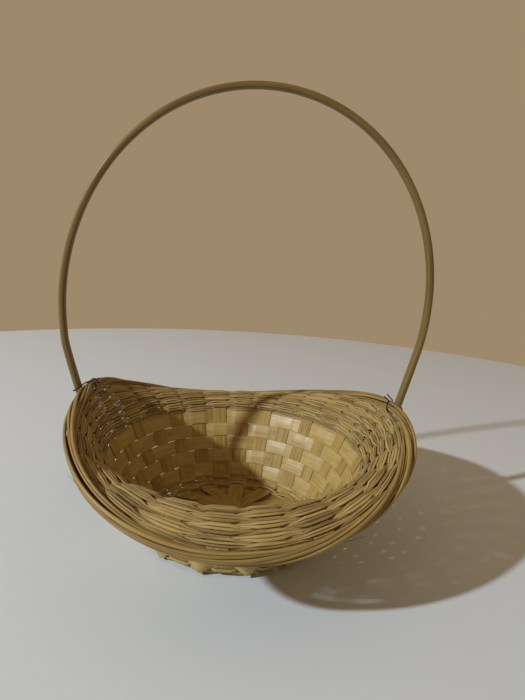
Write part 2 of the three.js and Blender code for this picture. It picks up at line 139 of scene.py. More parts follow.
class BasketColours(bpy.types.PropertyGroup):
    """Colours of the bamboo and of the stage."""

    band: colour("Shaved band", "Pale inner wood of the wide bands", "#b0985b")
    band_dark: colour("Shaved band, dark", "Darker fibres of the wide bands", "#8f7138")
    splint: colour("Splint", "Golden split bamboo of the stakes", "#ab9052")
    splint_dark: colour("Splint, dark", "Darker fibres of the stakes", "#7c612d")
    strand: colour("Strand", "Greyish straw of the brim", "#af955b")
    strand_dark: colour("Strand, dark", "Darker fibres of the brim", "#543d1a")
    border: colour("Border", "Split bamboo of the border", "#9f8449")
    border_dark: colour("Border, dark", "Darker fibres of the border", "#4a3413")
    cane: colour("Cane", "Olive straw skin of the handle", "#786232")
    cane_dark: colour("Cane, dark", "Darker streaks of the skin", "#574220")
    wire: colour("Wire", "Annealed binding wire", "#1a1917")
    floor: colour("Floor", "Pale studio floor", "#ced4d7")
    backdrop: colour("Backdrop", "Plain warm studio backdrop", "#c4aa87")
    key: colour("Key light", "Tint of the soft key light", "#ecf5ff")


# ---- the weave's middle surface ----


def smooth(share):
    """Eases a share from 0 to 1 in and out."""
    return share * share * (3 - 2 * share)


def unit(vectors):
    """Rows of unit length."""
    return vectors / np.linalg.norm(vectors, axis=-1, keepdims=True)


class Weave:
    """The basket's middle surface. A place on it is an angle round the basket and a distance along the wall
    and brim, and an offset is outwards where it is positive."""

    BEND_STEPS = 24
    NUDGE = 1e-3  # radians
    STRAIGHTNESS = 0.45  # of a strip's slant from one side of the stakes to the other

    def __init__(self, sizes):
        self.sizes = sizes
        self.stakes = 2 * sizes.splints
        self.pitch = TAU / self.stakes
        self.foot_row = sizes.bend_end + sizes.foot_strand_width / 2 + AIR
        self.first_band_edge = self.foot_row + sizes.foot_strand_width / 2 + 2 * AIR
        self.band_pitch = sizes.band_width + sizes.band_gap
        self.wall_length = self.first_band_edge + sizes.band_rows * self.band_pitch - sizes.band_gap / 2
        self.brim_pitch = sizes.strand_width + sizes.strand_gap
        strand = sizes.border_strand_diameter
        self.twist_radius = (strand + AIR) / 2 / math.sin(math.pi / sizes.border_strands)
        self.border_radius = self.twist_radius + strand / 2
        self.wire_room = sizes.wire_diameter + 2 * AIR
        self.brim_length = sizes.brim_rows * self.brim_pitch + self.wire_room + self.border_radius
        self.rim = self.wall_length + self.brim_length
        self.stake_end = self.rim - self.border_radius

    def stake_angle(self, stake):
        return self.sizes.first_stake + stake * self.pitch

    def from_stake(self, angle):
        """The nearest stake, and how far past it the angle is as a share of the pitch."""
        turn = (angle - self.sizes.first_stake) / self.pitch
        stake = np.round(turn)
        return stake, turn - stake

    def end_slope(self, angle):
        s = self.sizes
        return (
            s.brim_end_slope
            + s.brim_saddle * np.cos(2 * angle)
            - s.brim_left_lift * np.cos(angle)
            + s.brim_back_lift * np.sin(angle)
            - s.brim_skew * np.sin(2 * angle)
            - s.brim_three_lobe * (np.cos(3 * angle) + np.sin(3 * angle))
        )

    def slope(self, angle, along):
        wall = self.sizes.wall_slope
        share = np.clip((along - self.wall_length) / self.brim_length, 0, 1)
        bent = 1 - (1 - share) ** self.sizes.brim_bend_power
        return wall + (self.end_slope(angle) - wall) * bent

    def profile(self, angle, along):
        """Radius and height of the surface."""
        wall = self.sizes.wall_slope
        on_wall = np.minimum(along, self.wall_length)
        radius = self.sizes.base_radius + on_wall * math.cos(wall)
        height = on_wall * math.sin(wall)
        step = np.maximum(along - self.wall_length, 0) / self.BEND_STEPS
        for i in range(self.BEND_STEPS):
            slope = self.slope(angle, self.wall_length + (i + 0.5) * step)
            radius = radius + step * np.cos(slope)
            height = height + step * np.sin(slope)
        return radius, height

    def point(self, angle, along):
        radius, height = self.profile(angle, along)
        return np.stack([radius * np.cos(angle), radius * np.sin(angle), height], axis=-1)

    def directions(self, angle, along):
        """Unit vectors round the basket, up the surface and out of it."""
        around = unit(self.point(angle + self.NUDGE, along) - self.point(angle - self.NUDGE, along))
        slope = self.slope(angle, along)
        level = np.cos(slope)
        up = np.stack([level * np.cos(angle), level * np.sin(angle), np.sin(slope)], axis=-1)
        return around, up, unit(np.cross(around, up))

    def place(self, angle, along, offset):
        """Points off the surface."""
        out = self.directions(angle, along)[2]
        return self.point(angle, along) + out * np.asarray(offset)[..., None]

    def spot(self, angle, along):
        """One place on the surface: its point, and its directions."""
        angle, along = np.array([angle]), np.array([along])
        return self.point(angle, along)[0], [d[0] for d in self.directions(angle, along)]

    def passing(self, angle, along, row):
        """Which side of the stakes a woven row is on: 1 outside, -1 inside, and a slant through each gap."""
        stake, past = self.from_stake(angle)
        level = self.sizes.splint_width / 2 / self.profile(angle, along)[0] / self.pitch
        share = np.clip((0.5 - np.abs(past)) / (0.5 - level), 0, 1)
        side = np.where((row + stake) % 2 == 1, 1.0, -1.0)
        return side * (self.STRAIGHTNESS * share + (1 - self.STRAIGHTNESS) * smooth(share))


# ---- strips and strands ----

FLAT = 0.35  # squareness of a strip's section: 1 is an ellipse, and towards 0 is a crisp rectangle
SHAVED = 0.3
WHITTLED = 0.6
SPLIT = 0.7
ROUNDED = 0.8
ROUND = 1.0

TONE_DRIFT = 0.35  # how far the tone wanders along one strand
TONE_WAVES = (2, 5, 11)
GRAIN_STARTS = 5  # metres of grain that strands start in at random, so no two look alike
MERGE_DISTANCE = 1e-3 * MM
SHARP_ANGLE = math.radians(55)


def section(share, width, thickness, squareness):
    """A rounded section: across and up."""
    turn = TAU * share
    across = np.sign(np.cos(turn)) * np.abs(np.cos(turn)) ** squareness
    up = np.sign(np.sin(turn)) * np.abs(np.sin(turn)) ** squareness
    return across * width / 2, up * thickness / 2


def waver(share, chance, waves):
    """An uneven line that meets itself at both ends, mostly between -1 and 1."""
    total = np.zeros_like(share)
    for wave in waves:
        total = total + chance.uniform(0.4, 1) * np.sin(TAU * (wave * share + chance.random()))
    return total / math.sqrt(len(waves))


def line_length(points, order):
    """Length of the line through points, taken in the order of another row of numbers."""
    ordered = points[np.argsort(order)]
    return np.linalg.norm(np.diff(ordered, axis=0), axis=1).sum()


def new_weave_mesh():
    """An empty bmesh with the grain map and the tone attribute."""
    bm = bmesh.new()
    bm.loops.layers.uv.new(GRAIN)
    bm.verts.layers.float.new(TONE)
    return bm


def lay_strand(bm, steps, sides, place, chance, tone, is_ring):
    """Rolls a grid into a strand: its x runs along the strand and its y round the section. place turns the
    two shares into points, and tone is the strand's mean tone."""
    made = bmesh.ops.create_grid(bm, x_segments=steps, y_segments=sides, size=0.5, calc_uvs=True)["verts"]
    grid = np.array([v.co for v in made]) + 0.5
    run, turn = grid[:, 0], grid[:, 1]
    points = place(run, turn)
    tones = tone + TONE_DRIFT * waver(run, chance, TONE_WAVES)
    tone_layer = bm.verts.layers.float[TONE]
    for vert, point, value in zip(made, points, tones):
        vert.co = point
        vert[tone_layer] = value

    first_line = np.isclose(turn, 0, atol=0.1 / sides)
    first_rib = np.isclose(run, 0, atol=0.1 / steps)
    along = line_length(points[first_line], run[first_line])
    girth = line_length(points[first_rib], turn[first_rib])
    start = Vector((chance.uniform(0, GRAIN_STARTS), chance.uniform(0, GRAIN_STARTS)))
    uv_layer = bm.loops.layers.uv[GRAIN]
    for face in {f for v in made for f in v.link_faces}:
        for loop in face.loops:
            share = loop[uv_layer].uv
            loop[uv_layer].uv = start + Vector((share.x * along, share.y * girth))

    bmesh.ops.remove_doubles(bm, verts=made, dist=MERGE_DISTANCE)
    if not is_ring:
        ends = [e for e in bm.edges if e.is_boundary]
        bmesh.ops.holes_fill(bm, edges=ends, sides=0)


def finish_piece(name, bm, material, nodes):
    """Makes the bmesh a piece that rides on the basket and stands for CAD nodes."""
    bmesh.ops.recalc_face_normals(bm, faces=bm.faces)
    mesh = bpy.data.meshes.new(name)
    bm.to_mesh(mesh)
    bm.free()
    mesh.shade_smooth()
    mesh.set_sharp_from_angle(angle=SHARP_ANGLE)
    mesh.materials.append(material)
    piece = bpy.data.objects.new(name, mesh)
    bpy.context.scene.collection.objects.link(piece)
    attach(piece, BODY)
    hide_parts(*nodes)
    return piece


def numbered(name, index):
    return f"{name}_{index + 1:02d}"


# ---- materials ----

# Streaks in split bamboo: width across the strip and length along it, in fibre bundles
BUNDLE_SIZE = (1, 60)
SILK_SIZE = (1 / 3.5, 25)
DRIFT_SIZE = (6, 90)
BUNDLE_EDGES = (0.36, 0.66)  # noise values where a bundle starts, and where it is darkest

# How much each of them darkens the strip, and how much a strip's own tone lightens it
BUNDLE_DARKENS = 0.55
SILK_DARKENS = 0.55
DRIFT_DARKENS = 0.8
TONE_LIGHTENS = 0.22
NOISE_MIDDLE = 0.5

BUNDLE_HEIGHT = 0.6  # share of the relief
SILK_RANGE = (0.3, 0.7)
SILK_GLOSS = (-0.07, 0.1)  # how far the silk changes the roughness
WOOD_IOR = 1.5

# Each bamboo's colours, roughness, spacing of its fibre bundles, height of their relief, sheen along the
# grain, and gloss. A culm's bundles are about 0.5 mm apart, and are drawn a little coarser here, so that they
# still show on a whole basket.
BAMBOO = {
    # Inner wood shaved flat: the palest and smoothest strips, with a silky sheen along the grain
    "shaved_bamboo_band": ("band", 0.42, 0.7 * MM, 0.05 * MM, 0.5, 0.45),
    # Culm wall left as it splits: golden, with straight dark bundles and little gloss
    "split_bamboo_splint": ("splint", 0.58, 0.8 * MM, 0.07 * MM, 0.4, 0.22),
    # Narrow strands split by hand: greyish straw, with grooves that read as dark lines
    "narrow_bamboo_strand": ("strand", 0.52, 0.55 * MM, 0.12 * MM, 0.4, 0.35),
    # The same strands twisted into the border: darker, and a little polished by handling
    "rolled_bamboo_border": ("border", 0.48, 0.6 * MM, 0.1 * MM, 0.4, 0.4),
    # A culm's outer skin: olive brown and satin, with broad streaks along the cane
    "bamboo_skin_cane": ("cane", 0.4, 0.9 * MM, 0.05 * MM, 0.3, 0.4),
}

WIRE_PATCHES = 900.0  # to a metre
WIRE_ROUGHNESS = (0.3, 0.6)
WIRE_METALLIC = 0.6

ROLLER_MOTTLE = 60.0  # to a metre
MOTTLE_RELIEF = 0.1 * MM
MOTTLE_STRENGTH = 0.3
PAINT_ROUGHNESS = 0.6


def add_node(tree, kind, inputs, **settings):
    """Adds a shader node, with its settings, and its inputs as values or as sockets to link."""
    node = tree.nodes.new(kind)
    for key, value in settings.items():
        setattr(node, key, value)
    for key, value in inputs.items():
        if isinstance(value, bpy.types.NodeSocket):
            tree.links.new(value, node.inputs[key])
        else:
            node.inputs[key].default_value = value
    return node


def new_material(name):
    """A material with an empty tree."""
    material = bpy.data.materials.new(name)
    material.use_nodes = True
    material.node_tree.nodes.clear()
    return material


def end_material(tree, inputs):
    """Ends a tree with its Principled shader and the output."""
    shader = add_node(tree, "ShaderNodeBsdfPrincipled", inputs)
    add_node(tree, "ShaderNodeOutputMaterial", {"Surface": shader.outputs["BSDF"]})


def bamboo(name, colours, kind, roughness, fibre, relief, sheen, gloss):
    """Bamboo split along its fibres: straight darker bundles, finer silky streaks between them, and a tone
    that drifts along a strip and differs from strip to strip. relief is the height of the bundles."""
    material = new_material(name)
    tree = material.node_tree
    grain = add_node(tree, "ShaderNodeUVMap", {}, uv_map=GRAIN).outputs["UV"]
    streaks = []
    for across, along in (BUNDLE_SIZE, SILK_SIZE, DRIFT_SIZE):
        scale = (1 / (along * fibre), 1 / (across * fibre), 1)
        place = add_node(tree, "ShaderNodeMapping", {"Vector": grain, "Scale": scale}).outputs["Vector"]
        noise = add_node(
            tree,
            "ShaderNodeTexNoise",
            {"Vector": place, "Scale": 1.0, "Detail": 2.0, "Roughness": 0.6},
            noise_dimensions="2D",
        )
        streaks.append(noise.outputs["Fac"])
    bundles, silk, drift = streaks
    low, high = BUNDLE_EDGES
    fibres = add_node(tree, "ShaderNodeMapRange", {"Value": bundles, "From Min": low, "From Max": high})
    tone = add_node(tree, "ShaderNodeAttribute", {}, attribute_name=TONE)

    share = -NOISE_MIDDLE * (SILK_DARKENS + DRIFT_DARKENS)
    for value, weight in (
        (fibres.outputs[0], BUNDLE_DARKENS),
        (silk, SILK_DARKENS),
        (drift, DRIFT_DARKENS),
        (tone.outputs["Fac"], -TONE_LIGHTENS),
    ):
        share = add_node(
            tree, "ShaderNodeMath", {0: value, 1: weight, 2: share}, operation="MULTIPLY_ADD"
        ).outputs[0]
    share = add_node(tree, "ShaderNodeClamp", {"Value": share}).outputs[0]
    pale = (*getattr(colours, kind), 1)
    dark = (*getattr(colours, kind + "_dark"), 1)
    mix = add_node(tree, "ShaderNodeMix", {"Factor": share, "A": pale, "B": dark}, data_type="RGBA")

    glossiness = {
        "Value": silk,
        "From Min": SILK_RANGE[0],
        "From Max": SILK_RANGE[1],
        "To Min": roughness + SILK_GLOSS[0],
        "To Max": roughness + SILK_GLOSS[1],
    }
    height = 0.0
    for value, weight in ((bundles, BUNDLE_HEIGHT), (silk, 1 - BUNDLE_HEIGHT)):
        height = add_node(
            tree, "ShaderNodeMath", {0: value, 1: weight, 2: height}, operation="MULTIPLY_ADD"
        ).outputs[0]
    bump = add_node(tree, "ShaderNodeBump", {"Height": height, "Distance": relief, "Strength": 1.0})
    tangent = add_node(tree, "ShaderNodeTangent", {}, direction_type="UV_MAP", uv_map=GRAIN)
    end_material(
        tree,
        {
            "Base Color": [s for s in mix.outputs if s.type == "RGBA"][0],
            "Roughness": add_node(tree, "ShaderNodeMapRange", glossiness).outputs[0],
            "Normal": bump.outputs["Normal"],
            "Tangent": tangent.outputs["Tangent"],
            "Anisotropic": sheen,
            "IOR": WOOD_IOR,
            "Specular IOR Level": gloss,
        },
    )
    return material


def annealed_wire(name, colours):
    """Soft iron wire, annealed: its black oxide skin has a dull, slightly patchy gloss."""
    material = new_material(name)
    tree = material.node_tree
    place = add_node(tree, "ShaderNodeTexCoord", {}).outputs["Object"]
    patches = add_node(tree, "ShaderNodeTexNoise", {"Vector": place, "Scale": WIRE_PATCHES, "Detail": 2.0})
    low, high = WIRE_ROUGHNESS
    rough = add_node(
        tree, "ShaderNodeMapRange", {"Value": patches.outputs["Fac"], "To Min": low, "To Max": high}
    )
    end_material(
        tree,
        {"Base Color": (*colours.wire, 1), "Roughness": rough.outputs[0], "Metallic": WIRE_METALLIC},
    )
    return material


def studio_paint(name, paint):
    """Matt emulsion paint, with the faint mottle that a roller leaves."""
    material = new_material(name)
    tree = material.node_tree
    place = add_node(tree, "ShaderNodeTexCoord", {}).outputs["Object"]
    mottle = add_node(tree, "ShaderNodeTexNoise", {"Vector": place, "Scale": ROLLER_MOTTLE, "Detail": 3.0})
    bump = add_node(
        tree,
        "ShaderNodeBump",
        {"Height": mottle.outputs["Fac"], "Distance": MOTTLE_RELIEF, "Strength": MOTTLE_STRENGTH},
    )
    end_material(
        tree,
        {"Base Color": (*paint, 1), "Roughness": PAINT_ROUGHNESS, "Normal": bump.outputs["Normal"]},
    )
    return material


def material_for(context, name):
    """The material of one kind of piece, made the first time that it is asked for."""
    if name in bpy.data.materials:
        return bpy.data.materials[name]
    colours = context.scene.basket_colours
    if name in BAMBOO:
        return bamboo(name, colours, *BAMBOO[name])
    return annealed_wire(name, colours)


# ---- operators, one for each kind of piece ----


class BASKET_OT_splints(bpy.types.Operator):
    """Lays the splints across the base and stands their ends up as stakes"""

    bl_idname = "basket.splints"
    bl_label = "Splints"

    STEPS = 260
    SIDES = 12
    BEND_POINTS = 13
    EVENNESS = (0.97, 1.02)  # from splint to splint
    UNEVEN = 0.02  # along one splint
    UNEVEN_WAVES = (3, 8, 17)
    TONES = (-0.8, 0.6)
    FLOOR_SPREAD = 0.11  # how much broader a splint is near the floor's edge, where they nearly touch
    FLOOR_EASE = 20 * MM
    WALL_EASE = 15 * MM

    def execute(self, context):
        sizes = context.scene.basket_sizes
        weave = Weave(sizes)
        material = material_for(context, "split_bamboo_splint")
        for splint in range(sizes.splints):
            chance = random.Random(SEED + splint)
            bm = new_weave_mesh()
            tone = chance.uniform(*self.TONES)
            place = self.placer(weave, splint, chance)
            lay_strand(bm, self.STEPS, self.SIDES, place, chance, tone, False)
            name = numbered("splint", splint)
            finish_piece(name, bm, material, [numbered("stake_splint", splint)])
        return {"FINISHED"}

    def placer(self, weave, splint, chance):
        sizes = weave.sizes
        thickness = sizes.splint_thickness
        is_upper = splint % 2 == 0
        rank = splint // 2 + (sizes.splints // 2 if is_upper else 0)
        stacked = thickness / 2 + rank * (thickness + AIR)
        upper_lift = thickness + sizes.foot_strand_thickness + 2 * AIR
        parted = thickness / 2 + (upper_lift if is_upper else 0)
        full_stack = sizes.splint_width / 2 / math.sin(weave.pitch)
        two_level = sizes.floor_ring_radius - sizes.foot_strand_width - sizes.floor_ring_margin
        wall = sizes.wall_slope
        flat_end = sizes.base_radius - sizes.bend_start
        share = np.linspace(0, 1, self.BEND_POINTS)[:, None]
        first = np.array([flat_end, parted])
        middle = np.array([sizes.base_radius + parted / math.tan(wall), parted])
        on_wall = sizes.bend_end * np.array([math.cos(wall), math.sin(wall)])
        last = np.array([sizes.base_radius, 0]) + on_wall
        bend = (1 - share) ** 2 * first + 2 * share * (1 - share) * middle + share**2 * last
        bend_run = np.concatenate([[0], np.cumsum(np.linalg.norm(np.diff(bend, axis=0), axis=1))])
        wall_start = flat_end + bend_run[-1]
        half = wall_start + weave.stake_end - sizes.bend_end
        evenness = chance.uniform(*self.EVENNESS)
        waver_seed = chance.random()

        def place(run, turn):
            across, lift = section(turn, sizes.splint_width, thickness, FLAT)
            travel = (run * 2 - 1) * half
            there = np.abs(travel)
            on_floor = smooth(np.clip((there - full_stack) / self.FLOOR_EASE, 0, 1))
            on_wall = smooth(np.clip((there - wall_start) / self.WALL_EASE, 0, 1))
            uneven = self.UNEVEN * waver(run, random.Random(waver_seed), self.UNEVEN_WAVES)
            across = across * evenness * (1 + uneven)
            across = across * (1 + self.FLOOR_SPREAD * on_floor * (1 - on_wall))
            is_far = travel < 0
            across = np.where(is_far, -across, across)
            angle = weave.stake_angle(splint) + np.where(is_far, math.pi, 0)
            direction = np.stack([np.cos(angle), np.sin(angle), np.zeros_like(angle)], axis=-1)
            sideways = np.stack([-np.sin(angle), np.cos(angle), np.zeros_like(angle)], axis=-1)

            parting = np.clip((there - full_stack) / (two_level - full_stack), 0, 1)
            level = stacked + (parted - stacked) * parting
            on_bend = np.clip(there - flat_end, 0, bend_run[-1])
            distance = np.where(there < flat_end, there, np.interp(on_bend, bend_run, bend[:, 0]))
            height = np.where(there < flat_end, level, np.interp(on_bend, bend_run, bend[:, 1]))
            tilt = wall * smooth(np.clip(on_bend / bend_run[-1], 0, 1))
            inward = -direction * np.sin(tilt)[:, None]
            inward[:, 2] = np.cos(tilt)
            flat = direction * distance[:, None] + sideways * across[:, None] + inward * lift[:, None]
            flat[:, 2] += height

            along = sizes.bend_end + np.maximum(there - wall_start, 0)
            turned = angle + across / weave.profile(angle, along)[0]
            standing = weave.place(turned, along, -lift)
            return np.where((there > wall_start)[:, None], standing, flat)

        return place


class BASKET_OT_foot_strands(bpy.types.Operator):
    """Weaves the twined pair at the wall's foot, and the ring that locks the splints on the floor"""

    bl_idname = "basket.foot_strands"
    bl_label = "Foot strands"

    SAMPLES = 14  # between two stakes
    SIDES = 10
    TONES = (0.2, 1.2)
    FOOT_WIDTH = 3.0 * MM
    LOWER_FOOT = 3.4 * MM  # up the wall's line, to the strand that twines under the first
    LOWER_FOOT_WIDTH = 2.4 * MM
    BEND_INSET = 0.5 * MM  # how far the turned splints lie inside the wall's line there
    SCALLOP_WIDTH = 2.0 * MM
    SCALLOP_THICKNESS = 0.9 * MM
    SCALLOP_DEPTH = 4.0 * MM
    SCALLOP_RISE = 0.6 * MM

    def execute(self, context):
        sizes = context.scene.basket_sizes
        weave = Weave(sizes)
        material = material_for(context, "narrow_bamboo_strand")
        thickness = sizes.foot_strand_thickness
        offset = sizes.splint_thickness / 2 + AIR + thickness / 2
        flat_end = sizes.base_radius - sizes.bend_start

        def woven(turn, angle, middle, width, row, inset):
            across, lift = section(turn, width, thickness, WHITTLED)
            side = weave.passing(angle, middle + 0 * angle, row)
            return weave.place(angle, middle + across, offset * side - inset + lift)

        def level(angle, radius, height):
            return np.stack([radius * np.cos(angle), radius * np.sin(angle), height], axis=-1)

        def foot(run, turn):
            angle = sizes.first_stake + TAU * run
            return woven(turn, angle, weave.foot_row, self.FOOT_WIDTH, 1, 0)

        def lower_foot(run, turn):
            angle = sizes.first_stake + TAU * run
            return woven(turn, angle, self.LOWER_FOOT, self.LOWER_FOOT_WIDTH, 0, self.BEND_INSET)

        def ring(run, turn):
            angle = sizes.first_stake + TAU * run
            across, lift = section(turn, sizes.foot_strand_width, thickness, SPLIT)
            height = sizes.splint_thickness + AIR + thickness / 2 + lift
            return level(angle, sizes.floor_ring_radius + across, height)

        def scallops(run, turn):
            angle = sizes.first_stake + TAU * run
            across, lift = section(turn, self.SCALLOP_WIDTH, self.SCALLOP_THICKNESS, SPLIT)
            arch = np.abs(np.cos(weave.stakes / 4 * (angle - sizes.first_stake)))
            radius = flat_end - self.SCALLOP_DEPTH * (1 - arch) + across
            upper_top = 2 * (sizes.splint_thickness + AIR) + thickness
            height = upper_top + self.SCALLOP_THICKNESS / 2 + self.SCALLOP_RISE * arch + lift
            return level(angle, radius, height)

        for seed, name, node, places in (
            (1, "foot_weft", "foot_strand", [foot, lower_foot]),
            (2, "floor_ring_weft", "floor_ring_strand", [ring, scallops]),
        ):
            chance = random.Random(SEED + seed)
            bm = new_weave_mesh()
            for place in places:
                tone = chance.uniform(*self.TONES)
                lay_strand(bm, weave.stakes * self.SAMPLES, self.SIDES, place, chance, tone, True)
            finish_piece(name, bm, material, [node])
        return {"FINISHED"}


class BASKET_OT_bands(bpy.types.Operator):
    """Weaves the wide bands of the wall. The lowest one stands out and droops to a point over every second
    stake"""

    bl_idname = "basket.bands"
    bl_label = "Wall bands"

    SAMPLES = 16
    SIDES = 20
    SEED_STEP = 10
    PUFF_SEED = 100
    TONES = (-0.2, 0.7)
    FULLNESS = 1.055  # a band's width as a share of the frame's, so that only small slits are left
    UNEVEN = 0.018
    UNEVEN_WAVES = (5, 13, 29)
    WANDER = 0.15 * MM
    WANDER_WAVES = (4, 9, 21)
    PUFF_SHARES = (0.5, 1)  # from row to row
    PUFFS = (5.5 * MM, 2.0 * MM, 0.9 * MM, 0.5 * MM, 0.4 * MM)  # outwards, from the lowest band up
    DROOPS = (5.6 * MM, 1.2 * MM, 0.3 * MM, 0.1 * MM, 0.1 * MM)
    HOLLOW = 0.35 * MM  # inwards, on the inside of a stake
    SWELL_POWER = 1.5
    PETAL_POWER = 0.8

    def execute(self, context):
        sizes = context.scene.basket_sizes
        weave = Weave(sizes)
        material = material_for(context, "shaved_bamboo_band")
        for row in range(sizes.band_rows):
            chance = random.Random(SEED + self.SEED_STEP + row)
            bm = new_weave_mesh()
            place = self.placer(weave, row)
            tone = chance.uniform(*self.TONES)
            lay_strand(bm, weave.stakes * self.SAMPLES, self.SIDES, place, chance, tone, True)
            finish_piece(numbered("band", row), bm, material, [numbered("wall_band", row)])
        return {"FINISHED"}

    def placer(self, weave, row):
        sizes = weave.sizes
        middle = weave.first_band_edge + row * weave.band_pitch + sizes.band_width / 2
        offset = sizes.splint_thickness / 2 + AIR / 2 + sizes.band_thickness / 2
        puff = random.Random(self.PUFF_SEED + row).uniform(*self.PUFF_SHARES)
        kind = min(row, len(self.PUFFS) - 1)

        def place(run, turn):
            chance = random.Random(row)
            angle = sizes.first_stake + TAU * run
            across, lift = section(turn, sizes.band_width, sizes.band_thickness, SHAVED)
            across = across * (self.FULLNESS + self.UNEVEN * waver(run, chance, self.UNEVEN_WAVES))
            along = middle + self.WANDER * waver(run, chance, self.WANDER_WAVES)
            side = weave.passing(angle, along, row)
            above = np.clip(across / sizes.band_width + 0.5, 0, 1)
            swell = 1 - (2 * above - 1) ** 2
            petal = (1 - above) ** self.PETAL_POWER if row == 0 else swell
            swing = np.cos((angle - sizes.first_stake) / weave.pitch * math.pi) ** 2
            outside = np.maximum(side, 0) ** self.SWELL_POWER * puff
            inside = np.maximum(-side, 0) ** self.SWELL_POWER * puff
            bulge = self.PUFFS[kind] * outside * swing * petal - self.HOLLOW * inside * swell
            along = along + across - self.DROOPS[kind] * outside * swing * (1 - above)
            return weave.place(angle, along, offset * side + lift + bulge)

        return place


class Legs:
    """Where the handle's two legs lie against their stakes, under strands of the brim."""

    STAKES = {"left": 13, "right": 0}
    COVERED_ROWS = 7
    TIP_WIDTH = 5 * MM
    TIP_THICKNESS = 1 * MM
    TUCKED_THICKNESS = 2.6 * MM
    SHOULDER_THICKNESS = 3.8 * MM
    BEND_THICKNESS = 4.4 * MM
    BEND_DIRECTION = math.radians(-45)
    TOP_DIRECTION = math.radians(-16)
    LIFT_REACH = 1.25  # how far beside a leg a strand starts to lift over it, in half pitches

    def __init__(self, weave):
        self.weave = weave
        self.tip = weave.wall_length + weave.brim_pitch
        self.held_end = weave.wall_length + self.COVERED_ROWS * weave.brim_pitch

    def last_row(self, stake):
        """The outermost brim row that holds the leg down."""
        is_outside = (self.COVERED_ROWS - 1 + stake) % 2 == 1
        return self.COVERED_ROWS - 1 if is_outside else self.COVERED_ROWS - 2

    def thickness(self, along):
        share = np.clip((along - self.tip) / (self.held_end - self.tip), 0, 1)
        return self.TIP_THICKNESS + (self.TUCKED_THICKNESS - self.TIP_THICKNESS) * share

    def lift_over(self, row, angle, along):
        """How much further out a brim strand goes where it passes over a leg."""
        lift = np.zeros_like(angle)
        for stake in self.STAKES.values():
            if row > self.last_row(stake) or (row + stake) % 2 == 0:
                continue
            turn = (angle - self.weave.stake_angle(stake) + math.pi) % TAU - math.pi
            near = smooth(np.clip(self.LIFT_REACH - np.abs(turn) / self.weave.pitch * 2, 0, 1))
            lift = lift + near * (self.thickness(along + self.weave.brim_pitch / 2) + AIR)
        return lift


class BASKET_OT_brim_strands(bpy.types.Operator):
    """Weaves the narrow strands of the brim. A row is three strands that lie close in the gaps and part over
    the stakes, where the rows beside it are on the other side"""

    bl_idname = "basket.brim_strands"
    bl_label = "Brim strands"

    SAMPLES = 16
    SIDES = 10
    SEED_STEP = 40
    TONES = (-1.6, 1.2)
    CLOSE_PITCH = 1.27 * MM
    PARTED_PITCH = 2.3 * MM
    EDGE_PITCH = 1.6 * MM  # in the first and last rows, beside the top band and the border
    PARTING_POWER = 1.2
    CLOSE_FILL = 1.03  # a strand's width as a share of its pitch
    PARTED_FILL = 0.87
    UNEVEN = 0.1
    UNEVEN_WAVES = (6, 15, 31)
    THICKNESS_SHARES = (0.75, 0.95)
    WANDER = 0.16 * MM
    WANDER_WAVES = (7, 19, 33)
    LEAN = 0.12 * MM
    LEAN_WAVES = (9, 23)

    def execute(self, context):
        sizes = context.scene.basket_sizes
        weave = Weave(sizes)
        material = material_for(context, "narrow_bamboo_strand")
        for row in range(sizes.brim_rows):
            bm = new_weave_mesh()
            chance = random.Random(SEED + self.SEED_STEP + row)
            is_last = row == sizes.brim_rows - 1
            middle = weave.wall_length + (row + 0.5) * weave.brim_pitch
            strands = [(row, middle, step) for step in (-1, 0, 1)]
            if is_last:
                strands += [(row + 1, weave.stake_end - self.EDGE_PITCH, step) for step in (-0.5, 0.5)]
            for woven_row, line, step in strands:
                at_edge = (row == 0 and step < 0) or (is_last and step >= 0)
                place = self.placer(weave, woven_row, line, step, at_edge, chance.random())
                tone = chance.uniform(*self.TONES)
                lay_strand(bm, weave.stakes * self.SAMPLES, self.SIDES, place, chance, tone, True)
            name = numbered("brim_weft", row)
            finish_piece(name, bm, material, [numbered("brim_strand", row)])
        return {"FINISHED"}

    def placer(self, weave, row, middle, step, at_edge, seed):
        sizes = weave.sizes
        offset = sizes.splint_thickness / 2 + AIR + sizes.strand_thickness / 2
        parted_pitch = self.EDGE_PITCH if at_edge else self.PARTED_PITCH
        legs = Legs(weave)

        def place(run, turn):
            chance = random.Random(seed)
            angle = sizes.first_stake + TAU * run
            side = weave.passing(angle, middle + 0 * angle, row)
            parting = np.abs(side) ** self.PARTING_POWER
            pitch = self.CLOSE_PITCH + (parted_pitch - self.CLOSE_PITCH) * parting
            fill = self.CLOSE_FILL + (self.PARTED_FILL - self.CLOSE_FILL) * parting
            width = fill * pitch * (1 + self.UNEVEN * waver(run, chance, self.UNEVEN_WAVES))
            thickness = sizes.strand_thickness * chance.uniform(*self.THICKNESS_SHARES)
            across, lift = section(turn, width, thickness, ROUNDED)
            centre = middle + step * pitch + self.WANDER * waver(run, chance, self.WANDER_WAVES)
            over_leg = legs.lift_over(row, angle, centre)
            lean = self.LEAN * waver(run, chance, self.LEAN_WAVES)
            return weave.place(angle, centre + across, (offset + lean) * side + over_leg + lift)

        return place


